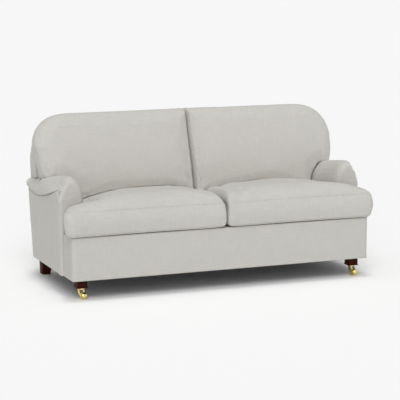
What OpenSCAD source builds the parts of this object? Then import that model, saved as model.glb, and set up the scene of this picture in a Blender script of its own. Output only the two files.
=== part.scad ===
// Two-cushion roll-arm sofa: timber frame, sprung deck, padded arms and back, loose cushions,
// short front legs on swivel castors. X runs across, Y from front to back, Z up from the floor.

/* [Base] */
// Width of the base across the front
base_w = 1760; // [1600:10:2000]
// Depth of the whole sofa, from the cushion fronts to the top of the back
sofa_d = 900; // [860:5:960]
// Height of the underside of the base above the floor
base_z = 108; // [100:1:120]
// Height of the base, from its underside to the sprung deck
base_h = 236; // [220:2:250]
// Thickness of the padded cloth round the base
cover_t = 8; // [6:1:10]
// Radius of the base's two front corners
base_corner_r = 22; // [16:1:30]
// Thickness of the cloth under the base
dust_cloth_t = 2; // [1:0.5:4]
// Thickness of the padded deck under the seat cushions
deck_t = 12; // [8:1:16]

/* [Timber] */
// Thickness of the frame's rails
rail_t = 28; // [22:1:32]
// Width of each back post
post_w = 44; // [36:1:50]
// Depth of each back post
post_d = 34; // [30:1:38]
// Width of the board on top of each arm
arm_rail_w = 64; // [50:2:66]
// Height of the centre rail under the springs
centre_rail_h = 90; // [60:5:120]
// Height of the back's lower rail
lower_rail_h = 60; // [40:5:80]
// Height of the back's top rail at its middle
top_rail_h = 130; // [115:5:140]
// Length of each corner block along the rails
block_l = 110; // [90:5:120]
// Height of each corner block
block_h = 118; // [80:2:140]

/* [Springs and webbing] */
// Number of serpentine springs
spring_count = 10; // [6:1:12]
// Width of one serpentine spring
spring_w = 46; // [36:2:56]
// Thickness of the spring wire
wire_t = 3.6; // [3:0.2:4.4]
// Number of bends in each spring
spring_bends = 22; // [14:2:26]
// Distance between two springs
spring_step = 150; // [130:1:155]
// Number of webbing straps up the back
strap_count = 8; // [4:2:10]
// Width of a webbing strap
strap_w = 60; // [40:5:70]
// Thickness of a webbing strap
strap_t = 1.6; // [1:0.2:2.4]

/* [Arms] */
// Distance from the base's front to the front of each arm
arm_setback = 162; // [140:1:190]
// Half the width of the arm's roll
roll_a = 83; // [76:1:88]
// Height of the roll's round part above its widest line
roll_b = 150; // [140:1:160]
// How far the roll's middle lies inside the base's side
roll_in = 43; // [38:1:48]
// Height of the knuckle at the front of the arm
knuckle_z = 650; // [630:1:670]
// Height of the arm where it meets the back
arm_rear_z = 563; // [550:1:570]
// Length over which the arm falls from the knuckle
arm_fall_l = 530; // [480:5:560]
// Depth of the rounding at the front of the knuckle
nose_d = 55; // [45:1:65]
// Share of the roll's width left at the flat of the nose
nose_share = 0.74; // [0.66:0.01:0.84]
// Thickness of the arm's padding
arm_pad_t = 22; // [18:1:24]
// Height of the seam under the roll at the front
seam_front_z = 575; // [560:1:585]
// Height of the seam under the roll at its lowest
seam_low_z = 490; // [480:1:500]
// Height of the roll's widest line above its seam, at the rear
lobe_rise = 25; // [18:1:30]
// How much narrower the roll is at its rear lobe than at its front
lobe_in = 16; // [8:1:22]
// Overhang of the outside arm panel beyond the base, at the top of its front
panel_out = 18; // [12:1:24]
// Overhang of the outside arm panel beyond the base, at the top of its rear
panel_rear_out = 12; // [8:1:20]
// Overhang of the outside arm panel beyond the base, at its foot
panel_foot_out = 8; // [6:1:10]
// Radius of the panel's front edge
panel_edge_r = 16; // [10:1:20]

/* [Back] */
// Height of the upholstered back frame
back_z = 902; // [890:1:920]
// Lean of the back, in degrees
back_lean = 8.5; // [6:0.5:10]
// Thickness of the whole back
back_t = 93; // [86:1:100]
// Thickness of the outside back cover
outback_t = 6; // [4:1:8]
// How far the back reaches beyond the base on each side
back_out = -4; // [-12:1:4]
// Radius of the back frame's shoulders
shoulder_r = 230; // [200:5:250]
// Gap between the arm's top and the back's wing at the outside back
wing_gap = 4; // [3:0.5:6]

/* [Seat cushions] */
// How far the seat cushions stand in front of the base
cushion_proud = 30; // [24:1:36]
// Height of the cushion's border, up to its top seam
border_h = 130; // [120:1:140]
// Rise of the crown above the top seam
seat_crown = 79; // [40:1:90]
// Share of that rise that the ears in front of the arms have
ear_crown = 1.08; // [0.5:0.02:1.3]
// Share of the rise that is lost where the seat, an arm and the back meet
neck_sink = 0.92; // [0:0.02:1]
// How far the ears reach beyond the base at the front corners
ear_out = 37; // [30:1:42]
// How far the ears reach beyond the base beside the arms
ear_back_out = 6; // [0:1:12]
// Inset of the top seam from the border's widest line
seam_inset = 16; // [12:1:20]
// How far the front of each cushion pulls in between its corners
draw_in = 7; // [0:1:12]
// Length of the zip at the back of each seat cushion
zip_l = 560; // [400:10:600]
// Height of the zip
zip_h = 8; // [6:1:12]
// Thickness of the zip
zip_t = 1.5; // [1:0.1:2]

/* [Back cushions] */
// Height of the top of the back cushions
cushion_top_z = 936; // [920:1:950]
// How far the back cushions reach beyond the base on each side
wing_out = 32; // [20:1:40]
// Depth of the cushion's front at seat height, behind the base's front
face_low_y = 437; // [425:1:460]
// Lean of the cushion's front face, in degrees
face_lean = 19.5; // [16:0.5:21]
// Rise of the crown on the front of each back cushion
back_crown = 28; // [16:1:34]
// Width of the cushion's rounded shoulder
shoulder_w = 222; // [190:2:250]
// Height of the cushion's rounded shoulder
shoulder_h = 216; // [190:2:240]
// Share of the front edge's rounding that the cushion's underside keeps
foot_round = 0.4; // [0.3:0.05:1]
// Fullness of the rounded shoulder, where 2 is an ellipse
shoulder_n = 2.3; // [2:0.1:3]

/* [Legs] */
// Width of each front leg
front_leg_w = 56; // [50:1:62]
// Height of the castor from the floor to the leg
castor_h = 60; // [57:1:66]
// Height of the lip at the foot of each front leg
lip_h = 6; // [4:1:8]
// How far the lip stands out of the leg
lip_out = 2; // [1:0.5:3]
// Distance from the base's side to the middle of a front leg
leg_in_x = 68; // [64:1:76]
// Distance from the base's front to the middle of a front leg
leg_in_y = 73; // [68:1:80]
// Width of a rear leg where it meets the base
rear_leg_w = 74; // [66:1:80]
// Depth of a rear leg where it meets the base
rear_leg_d = 60; // [52:1:68]
// Width of a rear leg at the floor
rear_foot_w = 46; // [40:1:50]
// Depth of a rear leg at the floor
rear_foot_d = 54; // [46:1:60]
// How far a rear leg's foot stands behind its top
rear_rake = 41; // [20:1:50]
// Radius of the bolts that hold the legs
bolt_r = 4; // [3:0.5:5]
// Length of a leg bolt above the underside of the base
bolt_up = 70; // [50:5:75]
// Length of a leg bolt inside the leg
bolt_down = 30; // [20:1:34]

/* [Castors] */
// Radius of each castor wheel
wheel_r = 19; // [17:0.5:21]
// Width of each castor wheel
wheel_w = 26; // [20:1:28]
// Distance from the swivel to the wheel's axle
trail = 27; // [26:0.5:30]
// Angle that both castors stand turned at, in degrees
castor_turn = 13; // [0:1:30]
// Radius of the axle
axle_r = 3; // [2.5:0.5:4]
// Thickness of the fork's cheeks
cheek_t = 3; // [2.5:0.5:4]
// Radius of the castor's plate
plate_r = 22; // [19:0.5:24]
// Thickness of the castor's plate
plate_t = 3; // [2:0.5:4]
// Radius of the pivot that the fork turns on
pivot_r = 5; // [4:0.5:6]
// Thickness of the fork's crown
crown_t = 5; // [4:0.5:6]
// Radius of the castor's screws
screw_r = 1.8; // [1.5:0.1:2.2]

/* [Clearances] */
// Running clearance round a pin
run_gap = 0.05; // [0.02:0.01:0.1]
// Gap between upholstered pieces that meet
seat_gap = 0.3; // [0.2:0.1:0.5]
// Gap between a loose cushion and what is beside it
loose_gap = 0.8; // [0.5:0.1:1.5]
// Gap between a back cushion and the curved faces under it
rest_gap = 3; // [1.5:0.5:5]
// Gap between moving castor faces
castor_gap = 0.6; // [0.4:0.1:1]

/* [Hidden] */
$fn = 48;
half_w = base_w / 2;
front_y = cushion_proud - sofa_d / 2;
back_y = sofa_d / 2;
deck_z = base_z + base_h;
timber_z = base_z + dust_cloth_t;
timber_top = deck_z - deck_t;
rail_x = half_w - cover_t;
side_in = rail_x - rail_t;
stump_w = post_w + 4;
stump_in = side_in - stump_w;
post_in = side_in - post_w;
arm_y = front_y + arm_setback;
roll_x = half_w - roll_in;
arm_in = roll_x - roll_a;
seam_z = deck_z + seat_gap + border_h;
stump_y = arm_y + 25;
panel_in = rail_x + seat_gap;
arm_rail_front_z = knuckle_z - 75;
arm_rail_rear_z = arm_rear_z - 75;
wing_x = half_w + back_out;
spring_z = timber_top - 4;
leg_x = half_w - leg_in_x;
leg_y = front_y + leg_in_y;
front_bolt_y = max(leg_y, front_y + cover_t + rail_t + 2 * bolt_r);
cheek_x = wheel_w / 2 + castor_gap;
fork_z = castor_h - plate_t - castor_gap;
crown_z = fork_z - crown_t;
crown_r = 15;
rivet_t = 3;
rivet_r = 7;
axle_end = cheek_x + cheek_t + 1.5;
seat_in = arm_in - loose_gap;
seat_front = front_y - cushion_proud;
seat_rear = inner_back(deck_z) - zip_t - 2 * loose_gap;
ear_y = arm_y - loose_gap;
cushion_out = half_w + wing_out;
lean_z = 450;
seat_level_z = 502;
cushion_foot_z = 500;
cushion_wing_z = 580;
pad_tuck = 40;
panel_rear_y = plane_y(lean_z, outback_t + seat_gap);
pad_rear_y = plane_y(lean_z, outback_t + post_d + seat_gap);
wing_z = arm_top(inner_back(arm_rear_z)) + wing_gap;
linen = "#c8c6bd";
timber = "#c9a877";
mahogany = "#42211a";
brass = "#c9a85a";
steel = "#9a9da0";

// Y of the plane that lies d inside the outside back, at height z
function plane_y(z, d) = back_y - (back_z - z) * tan(back_lean) - d / cos(back_lean);
function inner_back(z) = plane_y(z, back_t);

// Height of the arm's crest at depth y
function arm_top(y) =
    let (t = min(1, max(0, (y - arm_y - 28) / arm_fall_l)))
    knuckle_z - (knuckle_z - arm_rear_z) * pow(t, 1.2);

// Height of the crest at depth y, where the arm leans back with the frame
function arm_crest(y) =
    let (k = max(0, (y - arm_y) / (pad_rear_y - arm_y)))
    arm_top(y - k * (arm_top(y) - lean_z) * tan(back_lean));

// Height of the seam under the roll at depth y
function roll_seam(y) =
    let (low = arm_y + 458, fall = max(0, (low - y) / 415), rise = max(0, (y - low) / 160))
    seam_low_z + (seam_front_z - seam_low_z) * min(1, pow(fall, 1.6)) + 12 * rise * rise;

// How far the roll has turned into its rear lobe at depth y, from 0 to 1
function lobe(y) =
    let (t = min(1, max(0, (y - arm_y - nose_d) / 290)))
    t * t * (3 - 2 * t);

// Share of the roll's section at depth y, which falls off round the nose
function nose(y) =
    let (t = min(1, max(0, (y - arm_y) / nose_d)))
    nose_share + (1 - nose_share) * sqrt(1 - (1 - t) * (1 - t));

// Height of the timber under the arm's roll
function arm_rail_top(y) =
    let (t = (y - stump_y) / (plane_y(arm_rear_z, post_d) - stump_y))
    arm_rail_front_z + (arm_rail_rear_z - arm_rail_front_z) * t;

function arc(c, rx, rz, a0, a1, n) =
    [for (i = [0:n]) let (a = a0 + (a1 - a0) * i / n) [c[0] + rx * cos(a), c[1] + rz * sin(a)]];

// Points between p and q, pulled to the left of the way by sag at the middle
function run(p, q, n, sag = 0) =
    let (d = q - p, l = norm(d), side = [-d[1], d[0]] / l)
    [for (i = [1:n - 1]) p + d * i / n + side * sag * sin(180 * i / n)];

function ease(d, l) = 1 - exp(-max(0, d) / l);
function spread(points, c, s) = [for (p = points) c + (p - c) * s];

// A closed skin over rings of points, each end closed by a fan round its middle
module skin(rings) {
    n = len(rings[0]);
    m = len(rings);
    function middle(r) = [for (k = [0:2]) [for (p = r) p[k]] * [for (p = r) 1 / n]];
    points = concat([for (r = rings) each r], [middle(rings[0]), middle(rings[m - 1])]);
    walls = [for (k = [0:m - 2], i = [0:n - 1], h = [0, 1])
        let (a = k * n + i, b = k * n + (i + 1) % n)
        h == 0 ? [a, b, b + n] : [a, b + n, a + n]];
    start = [for (i = [0:n - 1]) [(i + 1) % n, i, m * n]];
    finish = [for (i = [0:n - 1]) [(m - 1) * n + i, (m - 1) * n + (i + 1) % n, m * n + 1]];
    polyhedron(concat(points), concat(walls, start, finish), convexity = 8);
}

module both_sides(side) {
    if (side < 0)
        children();
    else
        mirror([1, 0, 0]) children();
}

// Draws in the leaning frame of the back: x across, y in from the outside back, z up along it
module leaning() {
    translate([0, back_y, back_z]) rotate([-back_lean, 0, 0]) children();
}

// A solid with a side outline of [y, z] points, from x0 to x1
module sidewise(x0, x1, outline) {
    translate([x0, 0, 0]) rotate([90, 0, 90]) linear_extrude(x1 - x0) polygon(outline);
}

module bar(low, high) {
    translate(low) cube(high - low);
}

function up_back(z) = (z - back_z) / cos(back_lean);

// Timber frame

module front_rail() {
    color(timber)
        bar([-rail_x, front_y + cover_t, timber_z], [rail_x, front_y + cover_t + rail_t, timber_top]);
}

module rear_rail() {
    color(timber) sidewise(-post_in, post_in, [
        [plane_y(timber_z, outback_t + rail_t), timber_z], [plane_y(timber_z, outback_t), timber_z],
        [plane_y(timber_top, outback_t), timber_top],
        [plane_y(timber_top, outback_t + rail_t), timber_top]
    ]);
}

module side_rail(side) {
    color(timber) both_sides(side) sidewise(-rail_x, -side_in, [
        [front_y + cover_t + rail_t, timber_z], [plane_y(timber_z, outback_t), timber_z],
        [plane_y(timber_top, outback_t), timber_top], [front_y + cover_t + rail_t, timber_top]
    ]);
}

module centre_rail() {
    top = timber_z + centre_rail_h;
    color(timber) sidewise(-rail_t / 2, rail_t / 2, [
        [front_y + cover_t + rail_t, timber_z], [plane_y(timber_z, outback_t + rail_t), timber_z],
        [plane_y(top, outback_t + rail_t), top], [front_y + cover_t + rail_t, top]
    ]);
}

rear_block_front = plane_y(timber_z, outback_t + post_d) - 78;
rear_bolt_y = plane_y(timber_z + bolt_up / 2, outback_t + post_d / 2);

module corner_blocks() {
    y0 = front_y + cover_t + rail_t;
    top = timber_z + block_h;
    color(timber) for (side = [-1, 1]) both_sides(side) {
        difference() {
            translate([0, 0, timber_z]) linear_extrude(block_h) polygon([
                [-side_in, y0], [block_l - side_in, y0],
                [block_l - side_in, y0 + 12], [12 - side_in, y0 + block_l], [-side_in, y0 + block_l]
            ]);
            translate([-leg_x, front_bolt_y, timber_z - 1])
                cylinder(r = bolt_r + run_gap, h = base_z + bolt_up - timber_z + 2);
        }
        sidewise(-side_in, block_l - side_in, [
            [rear_block_front, timber_z], [plane_y(timber_z, outback_t + post_d), timber_z],
            [plane_y(top, outback_t + post_d), top], [rear_block_front, top]
        ]);
    }
}

module arm_stump(side) {
    color(timber) both_sides(side) sidewise(-side_in, -stump_in, [
        [stump_y, timber_z], [stump_y + rail_t, timber_z],
        [stump_y + rail_t, arm_rail_top(stump_y + rail_t) - rail_t],
        [stump_y, arm_rail_top(stump_y) - rail_t]
    ]);
}

module arm_rail(side) {
    z0 = arm_rail_top(stump_y);
    y1 = plane_y(arm_rail_rear_z, outback_t + post_d);
    z1 = arm_rail_top(y1);
    y2 = plane_y(z1 - rail_t, outback_t + post_d);
    color(timber) both_sides(side) sidewise(-roll_x - arm_rail_w / 2, arm_rail_w / 2 - roll_x, [
        [stump_y, z0 - rail_t], [y2, arm_rail_top(y2) - rail_t],
        [plane_y(arm_rail_top(y1), outback_t + post_d), arm_rail_top(y1)], [stump_y, z0]
    ]);
}

post_top_z = back_z - 12 - top_rail_h;

module back_post(side) {
    color(timber) both_sides(side) difference() {
        intersection() {
            leaning() bar(
                [-side_in, -outback_t - post_d, up_back(0)],
                [-post_in, -outback_t, up_back(post_top_z)]
            );
            bar([-base_w, -sofa_d, timber_z], [0, sofa_d, 2 * back_z]);
        }
        translate([-leg_x, rear_bolt_y, timber_z - 1])
            cylinder(r = bolt_r + run_gap, h = base_z + bolt_up - timber_z + 2);
    }
}

lower_rail_z = deck_z + 20;

module back_lower_rail() {
    color(timber) leaning() bar(
        [-post_in, -outback_t - rail_t, up_back(lower_rail_z)],
        [post_in, -outback_t, up_back(lower_rail_z + lower_rail_h)]
    );
}

module centre_back_post() {
    color(timber) leaning() bar(
        [-post_w / 2, -outback_t - rail_t, up_back(lower_rail_z + lower_rail_h)],
        [post_w / 2, -outback_t, up_back(post_top_z)]
    );
}

// Front view of the back: a plate with two round shoulders, inset by d, from z0 up
module back_outline(d, z0) {
    w = wing_x - d;
    r = shoulder_r - d;
    top = -d;
    intersection() {
        translate([-w, z0]) square([2 * w, top - z0]);
        union() {
            translate([-w, z0]) square([2 * w, top - r - z0]);
            translate([r - w, z0]) square([2 * (w - r), top - z0]);
            for (s = [-1, 1])
                translate([s * (w - r), top - r]) circle(r, $fn = 96);
        }
    }
}

// A plate of the back with the outline children, from depth d0 to depth d1 inside the outside back
module back_layer(d0, d1) {
    leaning() translate([0, -d0, 0]) rotate([90, 0, 0]) linear_extrude(d1 - d0) children();
}

module back_top_rail() {
    color(timber) back_layer(outback_t, outback_t + rail_t) intersection() {
        back_outline(12, up_back(post_top_z) - 50);
        translate([-base_w, up_back(post_top_z)]) square([2 * base_w, 2 * back_z]);
    }
}

// Springs and webbing

// A serpentine centre line with flat-topped bends, n of them, over the length l
function serpentine(n, l, w) = let (step = l / (n + 1)) concat(
    [[0, 0]],
    [for (i = [1:n], e = [-1, 1]) [(i % 2 == 0 ? -1 : 1) * w / 2, step * (i + e * 0.3)]],
    [[0, l]]
);

function unit(v) = v / norm(v);
function left_of(v) = [-v[1], v[0]];

// The centre line moved sideways by d, with mitred corners
function beside(line, d) = [for (i = [0:len(line) - 1]) let (
    a = unit(line[min(i + 1, len(line) - 1)] - line[min(i, len(line) - 2)]),
    b = unit(line[max(i, 1)] - line[max(i - 1, 0)]),
    na = left_of(a), nb = left_of(b)
) line[i] + (na + nb) * d / (1 + na * nb)];

clip_l = 14;
clip_w = 16;
clip_h = 8.5;
clip_drop = 5;
spring_front = front_y + cover_t + rail_t;
spring_back = plane_y(spring_z - clip_drop, outback_t + rail_t);
function spring_x(i) = (i - (spring_count - 1) / 2) * spring_step;

module seat_springs() {
    length = spring_back - spring_front - 2 * seat_gap;
    lead = clip_l + 4;
    path = concat(
        [[0, 0]],
        [for (p = serpentine(spring_bends, length - 2 * lead, spring_w - wire_t)) p + [0, lead]],
        [[0, length]]
    );
    left = beside(path, wire_t / 2);
    right = beside(path, -wire_t / 2);
    ring = concat(left, [for (i = [len(right) - 1:-1:0]) right[i]]);
    color(steel) for (i = [0:spring_count - 1])
        translate([spring_x(i), spring_front + seat_gap, spring_z - wire_t / 2])
            linear_extrude(wire_t) polygon(ring);
}

module spring_clips() {
    slot = wire_t + 2 * seat_gap;
    color(steel) for (i = [0:spring_count - 1], e = [0, 1])
        translate([spring_x(i), e == 0 ? spring_front : spring_back - clip_l, spring_z])
            difference() {
                translate([-clip_w / 2, 0, -clip_drop]) cube([clip_w, clip_l, clip_h]);
                translate([-slot / 2, -1, -slot / 2]) cube([slot, clip_l + 2, slot]);
            }
}

module seat_deck() {
    strip_rear = stump_y - seat_gap;
    color("#d8d4c8") translate([0, 0, timber_top]) linear_extrude(deck_t) union() {
        translate([-rail_x, front_y + cover_t])
            square([2 * rail_x, strip_rear - front_y - cover_t]);
        translate([-stump_in + seat_gap, strip_rear - 1]) square([
            2 * (stump_in - seat_gap),
            plane_y(timber_top, outback_t + rail_t) + rail_t / 2 - strip_rear
        ]);
    }
}

module back_webbing() {
    step = 2 * post_in / strap_count;
    color("#b9a98a") leaning() for (i = [0:strap_count - 1])
        translate([(i - (strap_count - 1) / 2) * step - strap_w / 2, -outback_t - rail_t - strap_t,
            up_back(lower_rail_z) + 8])
            cube([strap_w, strap_t, up_back(post_top_z + top_rail_h / 2) - up_back(lower_rail_z) - 8]);
}

// Upholstery of the base and arms

module base_cover() {
    w = 2 * half_w;
    rear = arm_y - seat_gap;
    color(linen) translate([0, 0, base_z]) linear_extrude(base_h) difference() {
        union() {
            translate([-half_w, front_y + base_corner_r])
                square([w, rear - front_y - base_corner_r]);
            translate([base_corner_r - half_w, front_y])
                square([w - 2 * base_corner_r, 2 * base_corner_r]);
            for (s = [-1, 1])
                translate([s * (half_w - base_corner_r), front_y + base_corner_r]) circle(base_corner_r);
        }
        translate([-rail_x, front_y + cover_t]) square([2 * rail_x, arm_setback]);
    }
}

module dust_cover() {
    y1 = plane_y(base_z, outback_t);
    color("#2b2b2b") difference() {
        union() {
            bar([-rail_x, front_y + cover_t, base_z], [rail_x, y1, timber_z]);
        }
        for (s = [-1, 1], y = [front_bolt_y, rear_bolt_y])
            translate([s * leg_x, y, base_z - 1]) cylinder(r = bolt_r + run_gap, h = dust_cloth_t + 2);
    }
}

// A ring of the arm at depth y, which leans with the back by the time it reaches rear
function arm_ring(y, rear, outline) =
    let (k = min(1, (y - arm_y) / (rear - arm_y)))
    [for (p = outline) [p[0], y + k * (p[1] - lean_z) * tan(back_lean), p[1]]];

// The panel below the roll flares from its foot to its top, and less so towards the back
module side_panel(side) {
    y1 = panel_rear_y;
    r = panel_edge_r;
    stations = concat(
        [for (a = [0, 30, 60, 90]) arm_y + r * (1 - cos(a))],
        [for (i = [1:10]) arm_y + r + (y1 - arm_y - r) * i / 10]
    );
    color(linen) both_sides(side) skin([for (y = stations) let (
        top = min(roll_seam(y), deck_z + base_h) - 3 * seat_gap,
        out = panel_out + (panel_rear_out - panel_out) * (y - arm_y) / (y1 - arm_y),
        d = max(0, arm_y + r - y),
        corner = r - sqrt(r * r - d * d)
    ) arm_ring(y, y1, concat(
        [[-panel_in, top], [-panel_in, base_z]],
        [for (t = [0, 0.25, 0.5, 0.75, 1])
            [corner - half_w - panel_foot_out - (out - panel_foot_out) * t, base_z + (top - base_z) * t]]
    ))]);
}

// The roll's outer curve at depth y, as [x, z] from the inner foot over the crest to the seam
function roll_curve(y, t) =
    let (
        s = nose(y), a = (roll_a - t) * s, b = (roll_b - t) * s,
        zc = arm_top(y) - roll_b, seam = roll_seam(y),
        ao = a - lobe_in * lobe(y),
        zo = zc + (seam + lobe_rise - zc) * lobe(y), bo = zc + b - zo,
        end = 180 - asin(min(0.95, max(-0.95, (seam - zo) / bo)))
    )
    concat(
        [[a - roll_x, deck_z + seat_gap], [a - roll_x, (deck_z + zc) / 2 + 20]],
        [for (i = [0:6]) let (p = i * 15) [a * cos(p) - roll_x, zc + b * sin(p)]],
        [for (i = [1:8]) let (p = 90 + (end - 90) * i / 8)
            [-ao * pow(-cos(p), 0.85) - roll_x, zo + bo * sin(p)]]
    );

module arm_pad(side) {
    y0 = stump_y + seat_gap;
    y1 = pad_rear_y;
    stations = concat(
        [y0, y0 + 10, y0 + 24, y0 + 45],
        [for (i = [1:12]) y0 + 45 + (y1 - y0 - 45) * i / 12]
    );
    color(linen) both_sides(side) skin([for (y = stations) let (
        outer = roll_curve(y, 0), inner = roll_curve(y, arm_pad_t),
        z = outer[len(outer) - 1][1]
    ) arm_ring(y, y1, concat(
        outer,
        [[-half_w - 4, z]],
        [for (i = [len(inner) - 1:-1:0]) i == len(inner) - 1 ? [-half_w + 6, z] : inner[i]]
    ))]);
}

// The end of the roll, which wraps the outer side of the back post
module roll_end(side) {
    x = -side_in - seat_gap;
    color(linen) both_sides(side) skin([for (y = [pad_rear_y + seat_gap, panel_rear_y]) let (
        outer = roll_curve(y, 0), n = len(outer), z = outer[n - 1][1],
        arch = [for (i = [n - 7:n - 1]) outer[i]]
    ) arm_ring(y, pad_rear_y, concat([[x, arch[0][1]]], arch, [[x, z]]))]);
}

module arm_facing(side) {
    y1 = stump_y - seat_gap;
    stations = [for (t = [0, 0.12, 0.3, 0.55, 0.8, 1]) arm_y + (y1 - arm_y) * t];
    color(linen) both_sides(side) skin([for (y = stations) let (
        outer = roll_curve(y, 0), z = outer[len(outer) - 1][1]
    ) [for (p = concat(outer, [[seat_gap - rail_x, z], [seat_gap - rail_x, deck_z + seat_gap]]))
        [p[0], y, p[1]]]]);
}

// Upholstery of the back

// Wings of the back above the arms and the part between the arms, without the lowest z0
module back_shape(d, low) {
    wing_low = up_back(wing_z);
    back_outline(d, wing_low);
    translate([seat_gap - arm_in, low]) square([2 * (arm_in - seat_gap), wing_low + 1 - low]);
}

module inside_back_pad() {
    color(linen) intersection() {
        back_layer(outback_t + post_d + seat_gap, back_t) back_shape(0, up_back(deck_z) - pad_tuck);
        bar([-base_w, -sofa_d, deck_z + seat_gap], [base_w, sofa_d, 2 * back_z]);
    }
}

module back_border() {
    wing_low = up_back(wing_z);
    color(linen) back_layer(outback_t + seat_gap, outback_t + post_d) difference() {
        back_outline(0, wing_low);
        intersection() {
            back_outline(12 - seat_gap, wing_low - 60);
            translate([-base_w, up_back(post_top_z)]) square([2 * base_w, 2 * back_z]);
        }
        translate([-side_in - seat_gap, wing_low - 60])
            square([2 * (side_in + seat_gap), up_back(post_top_z) + 61 - wing_low]);
    }
}

module outside_back_cover() {
    color(linen) intersection() {
        back_layer(0, outback_t) union() {
            back_outline(0, up_back(wing_z));
            translate([-half_w - panel_foot_out, up_back(0)])
                square([2 * (half_w + panel_foot_out), up_back(wing_z) + 1 - up_back(0)]);
        }
        bar([-base_w, -sofa_d, base_z], [base_w, sofa_d, 2 * back_z]);
    }
}

// Legs and castors

module front_leg(side) {
    h = base_z - castor_h;
    w = front_leg_w;
    color(mahogany) both_sides(side) translate([-leg_x, leg_y, castor_h]) difference() {
        union() {
            translate([-w / 2, -w / 2, 0]) cube([w, w, h]);
            translate([-w / 2 - lip_out, -w / 2 - lip_out, 0])
                cube([w + 2 * lip_out, w + 2 * lip_out, lip_h]);
        }
        translate([0, front_bolt_y - leg_y, h - bolt_down - 1]) cylinder(r = bolt_r + run_gap, h = bolt_down + 2);
        for (a = [90, 210, 330])
            rotate([0, 0, a]) translate([plate_r - 6, 0, -1]) cylinder(r = screw_r + run_gap, h = 13);
    }
}

module rear_leg(side) {
    front = plane_y(base_z, 0) - rear_leg_d;
    foot = front + rear_rake;
    color(mahogany) both_sides(side) difference() {
        intersection() {
            sidewise(-leg_x - rear_leg_w, rear_leg_w - leg_x, [
                [foot, 0], [foot + rear_foot_d, 0], [front + rear_leg_d, base_z], [front, base_z]
            ]);
            translate([-leg_x, sofa_d, 0]) rotate([90, 0, 0]) linear_extrude(2 * sofa_d) polygon([
                [-rear_foot_w / 2, 0], [rear_foot_w / 2, 0],
                [rear_leg_w / 2, base_z], [-rear_leg_w / 2, base_z]
            ]);
        }
        translate([-leg_x, rear_bolt_y, base_z - bolt_down - 1])
            cylinder(r = bolt_r + run_gap, h = bolt_down + 2);
    }
}

module leg_bolts() {
    color(steel) for (s = [-1, 1], y = [front_bolt_y, rear_bolt_y])
        translate([s * leg_x, y, base_z - bolt_down]) cylinder(r = bolt_r, h = bolt_down + bolt_up);
}

module castor_plate(side) {
    color(brass) both_sides(side) translate([-leg_x, leg_y, 0]) {
        difference() {
            translate([0, 0, castor_h - plate_t]) cylinder(r = plate_r, h = plate_t);
            for (a = [90, 210, 330])
                rotate([0, 0, a]) translate([plate_r - 6, 0, 0]) cylinder(r = screw_r + run_gap, h = 99);
        }
        translate([0, 0, crown_z - castor_gap])
            cylinder(r = pivot_r, h = castor_h - plate_t - crown_z + castor_gap);
        translate([0, 0, crown_z - castor_gap - rivet_t]) cylinder(r = rivet_r, h = rivet_t);
    }
}

module castor_screws() {
    color(brass) for (s = [-1, 1], a = [90, 210, 330])
        both_sides(s) translate([-leg_x, leg_y, 0]) rotate([0, 0, a]) translate([plate_r - 6, 0, 0]) {
            translate([0, 0, castor_h - plate_t]) cylinder(r = screw_r, h = plate_t + 11);
            translate([0, 0, castor_h - plate_t - castor_gap / 2])
                cylinder(r = 1.6 * screw_r, h = castor_gap / 2);
        }
}

// Draws in the frame of a castor that stands turned under its leg
module at_castor(side) {
    translate([side * leg_x, leg_y, 0]) rotate([0, 0, castor_turn]) children();
}

// The crown turns on the pivot, and two swept cheeks carry the axle in front of it
module castor_fork(side) {
    color(brass) at_castor(side) difference() {
        union() {
            translate([0, 0, crown_z]) cylinder(r = crown_r, h = crown_t - castor_gap);
            for (s = [0, 1])
                mirror([s, 0, 0]) {
                    bar([0, -8, crown_z], [cheek_x + cheek_t, 8, crown_z + crown_t - castor_gap]);
                    sidewise(cheek_x, cheek_x + cheek_t, [
                        [-8, crown_z + crown_t - castor_gap], [8, crown_z + crown_t - castor_gap],
                        [8, crown_z], [5, crown_z - 9], [-3, wheel_r + 6], [-trail + 7, wheel_r - 3],
                        [-trail + 2, wheel_r - 6.5], [-trail - 3, wheel_r - 6.5],
                        [-trail - 6.5, wheel_r - 3], [-trail - 6.5, wheel_r + 3],
                        [-trail - 2, wheel_r + 8], [-14, crown_z - 6]
                    ]);
                }
        }
        translate([0, 0, crown_z - 1]) cylinder(r = pivot_r + run_gap, h = crown_t + 2);
        translate([-axle_end - 1, -trail, wheel_r]) rotate([0, 90, 0])
            cylinder(r = axle_r, h = 2 * axle_end + 2);
    }
}

module castor_axle(side) {
    color(brass) at_castor(side) translate([-axle_end, -trail, wheel_r]) rotate([0, 90, 0])
        cylinder(r = axle_r, h = 2 * axle_end);
}

module castor_wheel(side) {
    w = wheel_w / 2;
    color(brass) at_castor(side) translate([0, -trail, wheel_r]) rotate([0, 90, 0])
        rotate_extrude() polygon([
            [axle_r + run_gap, -w], [8, -w], [9, 2 - w], [wheel_r - 5, 2 - w], [wheel_r - 4, 0.5 - w],
            [wheel_r - 1.5, 0.5 - w], [wheel_r, 3 - w], [wheel_r, w - 3], [wheel_r - 1.5, w - 0.5],
            [wheel_r - 4, w - 0.5], [wheel_r - 5, w - 2], [9, w - 2], [8, w], [axle_r + run_gap, w]
        ]);
}

// Loose cushions

// Height of a seat cushion's top at [x, y], left cushion
function seat_top(x, y) =
    let (
        i = seam_inset,
        neck = exp(-pow((x + seat_in - i) / 170, 2)) * (1 - exp(-pow(max(0, y - ear_y) / 160, 3))),
        main = ease(x + seat_in - i, 44) * ease(-x - i, 32) * (1 - neck_sink * neck)
            * ease(y - seat_front - i, 43) * ease(seat_rear - i - y, 240),
        ear = ear_crown * ease(x + half_w + ear_out - i, 82) * ease(-x - i, 32)
            * ease(y - seat_front - i, 27) * ease(ear_y - i - y, 25)
    )
    seam_z + seat_crown * pow(pow(main, 8) + pow(ear, 8), 1 / 8);

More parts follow.
